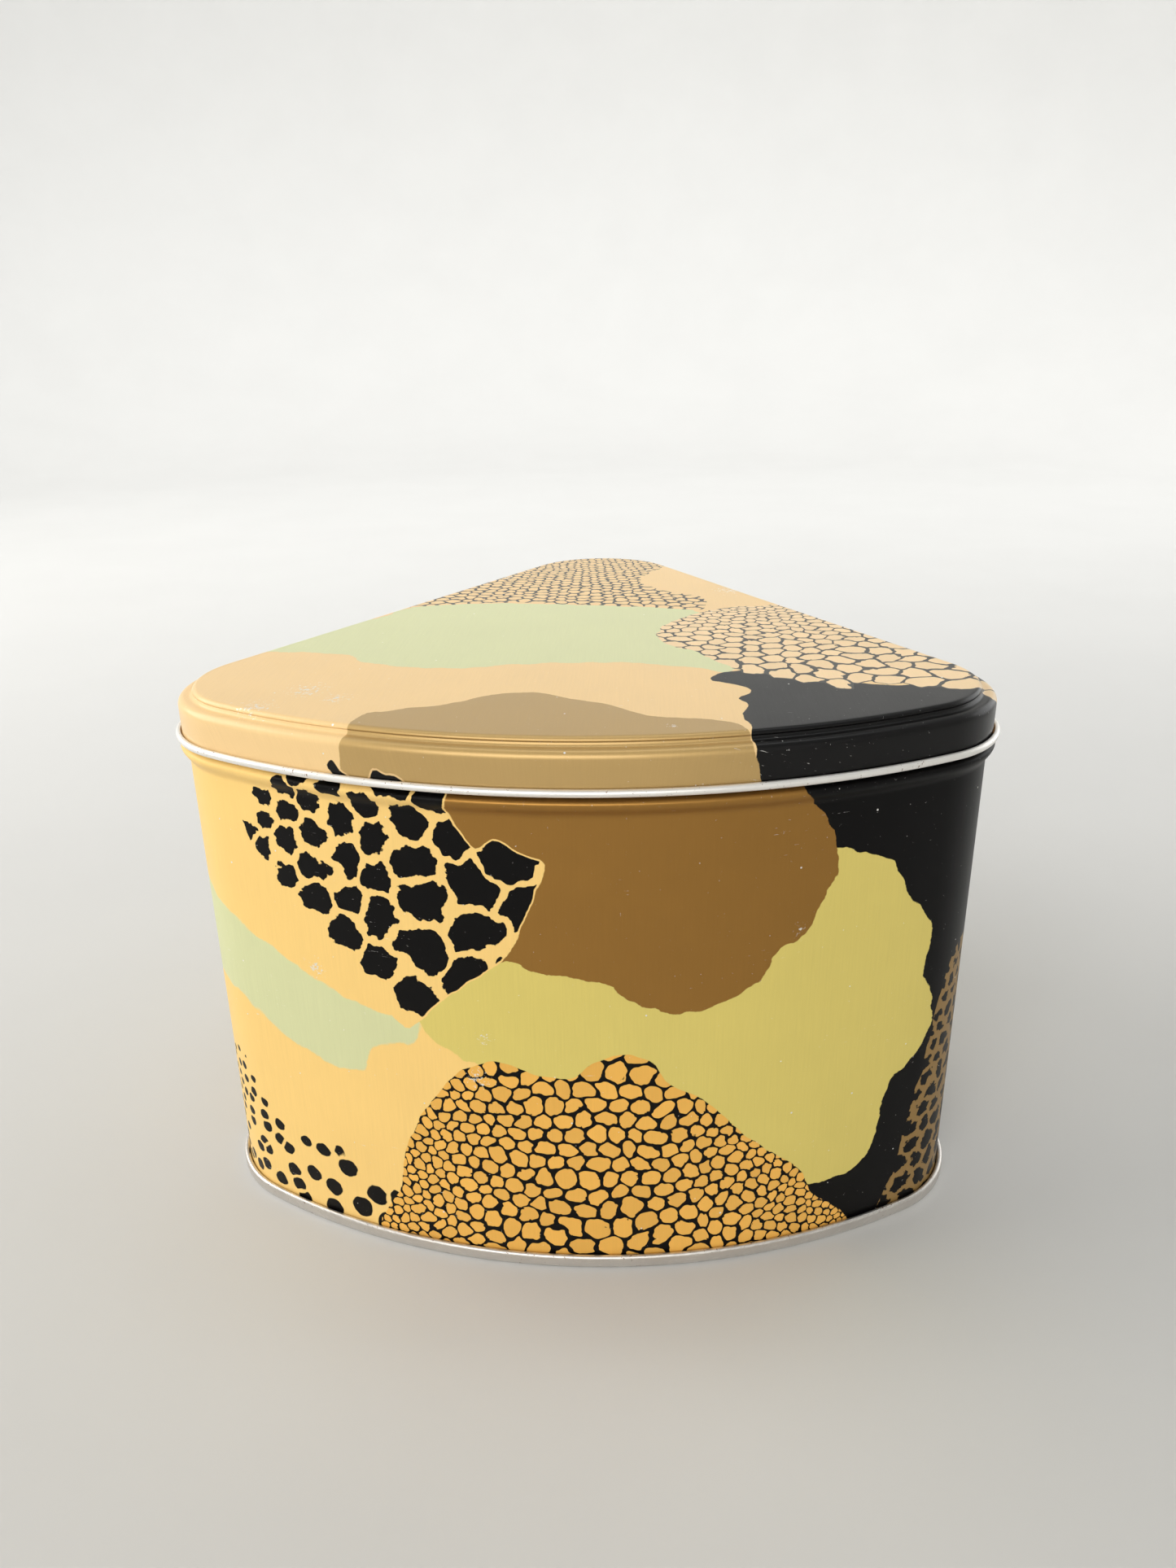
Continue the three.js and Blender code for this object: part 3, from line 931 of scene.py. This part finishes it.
def capped_piece(plan, stations, section, sheet, fine_rings, printed_side, fine_side, wave=None):
    """A sheet with a flat panel over the middle of the plan. Its underside runs outwards and its
    topside comes back, and both panels close in a fan at their middles."""
    under = capped_face(
        plan, stations, section, sheet / 2, 1, fine_rings if fine_side == 1 else PLAIN_RINGS, printed_side)
    top = capped_face(
        plan, stations, section, sheet / 2, -1, fine_rings if fine_side == -1 else PLAIN_RINGS, printed_side)
    grid = np.concatenate([under[0], top[0][:, ::-1]], 1)
    blank = np.concatenate([under[1], top[1][:, ::-1]], 1)
    values = np.concatenate([under[2], top[2][::-1]])
    if wave is not None:
        grid[..., 2] -= wave(grid)
    columns, rows = grid.shape[0] - 1, grid.shape[1]
    quads, corners = grid_faces(columns, rows, closed=False)
    fans, fan_corners = middle_fans(columns, rows)
    middles = np.array([[0, 0, grid[0, 0, 2]], [0, 0, grid[0, -1, 2]]])
    sheet_rows = np.broadcast_to(values[None], (*grid.shape[:2], 3))
    return (np.concatenate([grid[:-1].reshape(-1, 3), middles]), [quads, *fans],
            [corners, *fan_corners], blank.reshape(-1, 2), sheet_rows.reshape(-1, 3))


def finish_capped(name, made, values):
    """Adds the two middle points' values and writes the mesh."""
    vertices, faces, corners, blank, sheet = made
    middle_sheet = np.array([[0.0, sheet[0, 1], 0.0], [0.0, sheet[-1, 1], 0.0]])
    values = values(np.concatenate([blank, np.zeros((2, 2))]))
    values["sheet"] = np.concatenate([sheet, middle_sheet])
    return write_mesh(name, vertices, faces, values, corners)


def lid_section(lid, sheet):
    """The lid's centreline from the panel outwards: edge, step, shoulder, skirt and curl."""
    half = sheet / 2
    panel, shoulder = lid.top - half, lid.shoulder - half
    small, corner = 1.0, 1.7
    foot = lid.riser + small
    curl = (lid.skirt + lid.curl_radius, lid.curl_height)
    return Section([
        run((-5.2, panel), (lid.riser - small, panel), 0.6),
        bend((lid.riser - small, panel - small), small, 90, 0, 7),
        bend((foot, shoulder + small), small, 180, 270, 7),
        run((foot, shoulder), (lid.skirt - corner, shoulder), 0.5),
        bend((lid.skirt - corner, shoulder - corner), corner, 90, 0, 12),
        run((lid.skirt, shoulder - corner), (lid.skirt, lid.curl_height), 0.8),
        bend(curl, lid.curl_radius, 180, 470, 22)])


def wall_section(wall, end, sheet):
    """The wall's centreline from its hook in the bottom seam to its rolled rim. The bead rises and
    falls as a cosine between its bottom, crest and top."""
    half = sheet / 2
    centre = -half
    hook = sheet + end.gap
    hook_z = sheet + end.gap + half + hook
    height = np.linspace(wall.bead_bottom, wall.bead_top, 22)
    rising = (height - wall.bead_bottom) / (wall.bead_crest - wall.bead_bottom)
    falling = (wall.bead_top - height) / (wall.bead_top - wall.bead_crest)
    share = np.minimum(rising, falling).clip(0, 1)
    bead = np.stack([centre + wall.bead_height * (1 - np.cos(share * math.pi)) / 2, height], -1)
    rim = (centre - wall.rim_radius, wall.rim_top - half - wall.rim_radius)
    return Section([
        np.array([[centre + 2 * hook, 2.3]]),
        bend((centre + hook, hook_z), hook, 360, 180, 10),
        run((centre, hook_z), (centre, wall.bead_bottom), wall.row_step),
        bead,
        run((centre, wall.bead_top), (centre, rim[1]), 1.4),
        bend(rim, wall.rim_radius, 0, 240, 12)])


def end_section(end, sheet):
    """The bottom end's centreline: stiffening step, chuck wall, seam and end hook."""
    half = sheet / 2
    chuck = -half - sheet - end.gap
    hook = -half + sheet + end.gap
    outer = hook + 2 * (sheet + end.gap)
    soft, tight = 0.6, 0.5
    fold = (outer - hook) / 2
    step = np.linspace(0, 1, 9)
    drop = end.step * (1 + np.cos(step * math.pi)) / 2
    ease = np.stack([end.step_inset - 1.6 + 1.6 * step, end.panel - drop], -1)
    return Section([
        ease,
        run((end.step_inset, end.panel), (chuck - soft, end.panel), 1.5),
        bend((chuck - soft, end.panel - soft), soft, 90, 0, 7),
        bend((chuck + tight, half + tight), tight, 180, 270, 7),
        bend((outer - tight, half + tight), tight, 270, 360, 7),
        bend((outer - fold, end.fold_height), fold, 0, 180, 12),
        run((hook, end.fold_height), (hook, 1.2), 0.5),
        np.array([[hook, 1.2]])])


def panel_wave(settings, top):
    """How far the raised panel sinks: a few slow sines that die out at its edge."""
    def wave(grid):
        x, y, z = (grid[..., i] for i in range(3))
        slow = np.sin(x / 17 + 0.6) * np.sin(y / 23 + 1.1) + 0.5 * np.sin((x + y) / 11)
        reach = np.hypot(x, y + 18)
        fade = np.clip(1 - (reach / 84) ** 4, 0, 1)
        return np.where(z > top - 1, settings.waviness * (0.6 + 0.27 * slow) * fade, 0)
    return wave


# Heights that the side seam's groove and folds start above, clear of the bottom seam.
GROOVE_FOOT, FOLD_FOOT = 4.0, 4.4
# Height on the plain wall from which the print's heights are counted along the sheet.
PLAIN_HEIGHT = 20.0


def dent_depth(stations, heights):
    """How far the wall is pushed in at each station and height."""
    depth = 0
    for along, height, radius, deepest in WALL_DENTS:
        away = (stations[:, None] - along) ** 2 + (heights[None] - height) ** 2
        depth = depth + deepest * np.exp(-away / radius**2)
    return depth


def wall_grid(plan, stations, section, wall, sheet):
    """Outer face up and inner face down, carried round the plan. The outer face has a fine groove
    at the side seam, and the inner face stands in over the seam's width, between seam and bead.
    Dents push both faces in by their depth times the exponential of -(distance / radius) squared."""
    half = sheet / 2
    straight = np.abs(section.curvature) < 1e-6
    keep = ~straight | (np.arange(len(straight)) % 2 == 0)
    keep[[0, -1]] = True
    outer_rows = np.arange(len(straight))
    inner_rows = np.flatnonzero(keep)[::-1]
    to_seam = np.minimum(stations - plan.seam_left, plan.seam_right - stations)
    outer, inner = section.face(1, half), section.face(-1, half)[inner_rows]
    between = ((outer[:, 1] > GROOVE_FOOT) & (outer[:, 1] < wall.bead_bottom - 1)).astype(float)
    between_in = ((inner[:, 1] > FOLD_FOOT) & (inner[:, 1] < wall.bead_bottom - 1)).astype(float)
    groove = wall.seam_groove * np.clip(1 - to_seam / (wall.seam_width * 0.1), 0, 1)
    fold = wall.seam_fold * np.clip((wall.seam_width / 2 - to_seam) / 0.4, 0, 1)
    outer_grid = np.repeat(outer[None], len(stations), 0)
    outer_grid[..., 0] -= groove[:, None] * between + dent_depth(stations, outer[:, 1])
    inner_grid = np.repeat(inner[None], len(stations), 0)
    inner_grid[..., 0] -= fold[:, None] * between_in + dent_depth(stations, inner[:, 1])
    grid = np.concatenate(
        [sweep(plan, stations, outer_grid), sweep(plan, stations, inner_grid)], 1)
    values = np.concatenate([sheet_values(section, 1, 1, outer_rows),
                             sheet_values(section, -1, 1, inner_rows)])
    height = np.concatenate([section.distance[outer_rows], section.distance[inner_rows]])
    return grid, values, height


class TIN_OT_lid(bpy.types.Operator):
    """Make the lid: raised panel, shoulder, skirt and outward curl, with its print"""

    bl_idname = "tin.lid"
    bl_label = "Lid"

    def execute(self, context):
        scene = context.scene
        plan, lid = Plan(scene.tin_plan), scene.tin_lid
        sheet = scene.tin_plan.sheet
        stations = plan.stations(scene.tin_plan)
        section = lid_section(lid, sheet)
        made = capped_piece(
            plan, stations, section, sheet, lid.panel_rings,
            printed_side=-1, fine_side=-1, wave=panel_wave(lid, lid.top))
        piece = finish_capped("lid_sheet", made, lid_values)
        piece.data.materials.append(printed_finish("lid_print", lid_ink, scene.tin_inks, 0.35, LID_RUBS))
        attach(piece, "lid")
        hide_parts("lid")
        return {"FINISHED"}


class TIN_OT_body_wall(bpy.types.Operator):
    """Make the body wall: seam hook, side seam, stop bead and rolled rim, with its print"""

    bl_idname = "tin.body_wall"
    bl_label = "Body wall"

    def execute(self, context):
        scene = context.scene
        plan, wall = Plan(scene.tin_plan), scene.tin_wall
        sheet = scene.tin_plan.sheet
        stations = plan.stations(scene.tin_plan)
        section = wall_section(wall, scene.tin_end, sheet)
        grid, rows, along = wall_grid(plan, stations, section, wall, sheet)
        first = np.flatnonzero(section.points[:, 1] > PLAIN_HEIGHT)[0]
        height = along - section.distance[first] + section.points[first, 1]
        columns, count = grid.shape[0] - 1, grid.shape[1]
        quads, corners = grid_faces(columns, count, closed=True)
        places = np.stack(np.broadcast_arrays(stations[:, None], height[None]), -1).reshape(-1, 2)
        values = wall_values(places)
        sheet_rows = np.repeat(rows[None], len(stations), 0)
        to_seam = np.minimum(stations - plan.seam_left, plan.seam_right - stations)
        sheet_rows[..., 1] = np.minimum(sheet_rows[..., 1], to_seam[:, None])
        values["sheet"] = sheet_rows.reshape(-1, 3)
        piece = write_mesh("wall_sheet", grid[:-1].reshape(-1, 3), [quads], values, [corners])
        piece.data.materials.append(printed_finish("wall_print", wall_ink, scene.tin_inks, 0.04, WALL_RUBS))
        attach(piece, "body")
        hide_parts("body_wall")
        return {"FINISHED"}


class TIN_OT_bottom_end(bpy.types.Operator):
    """Make the bottom end: stiffened panel, chuck wall and double seam, in bare tinplate"""

    bl_idname = "tin.bottom_end"
    bl_label = "Bottom end"

    def execute(self, context):
        scene = context.scene
        plan, end = Plan(scene.tin_plan), scene.tin_end
        stations = plan.stations(scene.tin_plan)[::2]
        stations = np.append(stations[stations < plan.seam_right], plan.seam_right)
        sheet = scene.tin_plan.sheet
        made = capped_piece(
            plan, stations, end_section(end, sheet), sheet, end.panel_rings, printed_side=0, fine_side=1)
        piece = finish_capped("end_sheet", made, lambda places: {"print": flat_vectors(places)})
        piece.data.materials.append(tinplate_finish("tinplate", scene.tin_inks))
        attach(piece, "body")
        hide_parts("bottom_end")
        return {"FINISHED"}


# ---------------------------------------------------------------- stage

def soft_light(name, place, aim, size, power, colour, spread=math.pi):
    """A rectangular area light that faces a point."""
    lamp = bpy.data.lights.new(name, "AREA")
    lamp.shape = "RECTANGLE"
    lamp.size, lamp.size_y = size
    lamp.energy = power
    lamp.color = colour
    lamp.spread = spread
    thing = bpy.data.objects.new(name, lamp)
    way = Vector(aim) - Vector(place)
    thing.matrix_world = Matrix.Translation(place) @ way.to_track_quat("-Z", "Y").to_matrix().to_4x4()
    bpy.context.scene.collection.objects.link(thing)


def bowl_floor(flat_radius, bend_radius, height, sides=96):
    """A paper bowl: a flat disc, then a quarter circle, then upright to its height, turned round
    the middle."""
    angle = np.linspace(-math.pi / 2, 0, 17)
    radius = np.concatenate([flat_radius + bend_radius * np.cos(angle), [flat_radius + bend_radius]])
    z = np.concatenate([bend_radius + bend_radius * np.sin(angle), [height]]) - 0.02
    turn = np.linspace(0, 2 * math.pi, sides, endpoint=False)[:, None]
    grid = np.stack(np.broadcast_arrays(radius * np.cos(turn), radius * np.sin(turn), z), -1)
    quads, _ = grid_faces(sides, len(z), closed=False)
    disc = np.arange(sides)[None] * len(z)
    return grid.reshape(-1, 3), [quads[:, ::-1], disc]


class TIN_OT_stage(bpy.types.Operator):
    """Make the floor, soft lights, pale surroundings and the camera"""

    bl_idname = "tin.stage"
    bl_label = "Stage"

    def execute(self, context):
        stage = context.scene.tin_stage
        vertices, faces = bowl_floor(stage.floor_flat, stage.floor_bend, stage.floor_height)
        floor = write_mesh("floor", vertices, faces, {}, [])
        finish = Finish("floor_paint")
        texture = finish.node("ShaderNodeTexCoord", output="Object")
        mottle = finish.noise(texture, 9.0, 3.0)
        finish.set(Base_Color=finish.tint(stage.floor_colour, 0.97 + mottle * 0.06), Roughness=0.75)
        floor.data.materials.append(finish.material)
        middle = (0, 0, 0.08)
        warm, cool, sunny = (1.0, 0.98, 0.95), (0.98, 0.99, 1.0), (1.0, 0.985, 0.96)
        strip, narrow = (3.0, 0.8), 2.0
        soft_light("window", (-1.2, 0.1, 0.75), middle, (1.0, 0.9), stage.key_power, sunny)
        soft_light("paper", (0, 0.5, 1.9), (0, 1.5, 0.4), strip, stage.paper_power, cool, narrow)
        soft_light("near paper", (0, -0.6, 1.9), (0, -2.2, 0.9), strip, stage.near_power, cool, narrow)
        soft_light("right", (1.5, 0.9, 0.5), middle, (1.3, 1.2), stage.side_power, cool)
        soft_light("front", (-0.3, -1.4, 0.9), middle, (1.2, 0.9), stage.fill_power, warm)
        world = bpy.data.worlds.new("pale_room")
        world.use_nodes = True
        background = world.node_tree.nodes["Background"]
        background.inputs["Color"].default_value = (*stage.room_colour, 1)
        background.inputs["Strength"].default_value = stage.room_strength
        context.scene.world = world
        context.scene.view_settings.view_transform = "Standard"
        camera = bpy.data.objects.new("camera", bpy.data.cameras.new("camera"))
        camera.data.lens = stage.focal_length
        camera.data.sensor_width = 36
        camera.data.clip_start, camera.data.clip_end = 0.01, 30
        turn = Matrix.Rotation(stage.heading, 4, "Z") @ Matrix.Rotation(math.pi / 2 - stage.pitch, 4, "X")
        turn = turn @ Matrix.Rotation(stage.roll, 4, "Z")
        camera.matrix_world = Matrix.Translation(Vector(stage.eye)) @ turn
        context.scene.collection.objects.link(camera)
        context.scene.camera = camera
        return {"FINISHED"}


class TIN_PT_sidebar(bpy.types.Panel):
    """Lists the tin's settings and its steps"""

    bl_idname = "TIN_PT_sidebar"
    bl_label = "Cookie Tin"
    bl_space_type = "VIEW_3D"
    bl_region_type = "UI"
    bl_category = "Cookie Tin"

    def draw(self, context):
        for group, operator in (("tin_plan", None), ("tin_lid", TIN_OT_lid),
                                ("tin_wall", TIN_OT_body_wall), ("tin_end", TIN_OT_bottom_end),
                                ("tin_inks", None), ("tin_stage", TIN_OT_stage)):
            box = self.layout.box()
            settings = getattr(context.scene, group)
            for key in settings.bl_rna.properties.keys():
                if key not in ("rna_type", "name"):
                    box.prop(settings, key)
            if operator:
                box.operator(operator.bl_idname)


CLASSES = (TinPlanSettings, LidSettings, WallSettings, EndSettings, InkSettings, StageSettings,
           TIN_OT_stage, TIN_OT_lid, TIN_OT_body_wall, TIN_OT_bottom_end, TIN_PT_sidebar)
GROUPS = {"tin_plan": TinPlanSettings, "tin_lid": LidSettings, "tin_wall": WallSettings,
          "tin_end": EndSettings, "tin_inks": InkSettings, "tin_stage": StageSettings}


def register():
    for cls in CLASSES:
        bpy.utils.register_class(cls)
    for name, group in GROUPS.items():
        setattr(bpy.types.Scene, name, PointerProperty(type=group))


def unregister():
    for name in GROUPS:
        delattr(bpy.types.Scene, name)
    for cls in reversed(CLASSES):
        bpy.utils.unregister_class(cls)


def main():
    register()
    bpy.ops.tin.stage()
    bpy.ops.tin.lid()
    bpy.ops.tin.body_wall()
    bpy.ops.tin.bottom_end()


if __name__ == "__main__":
    main()
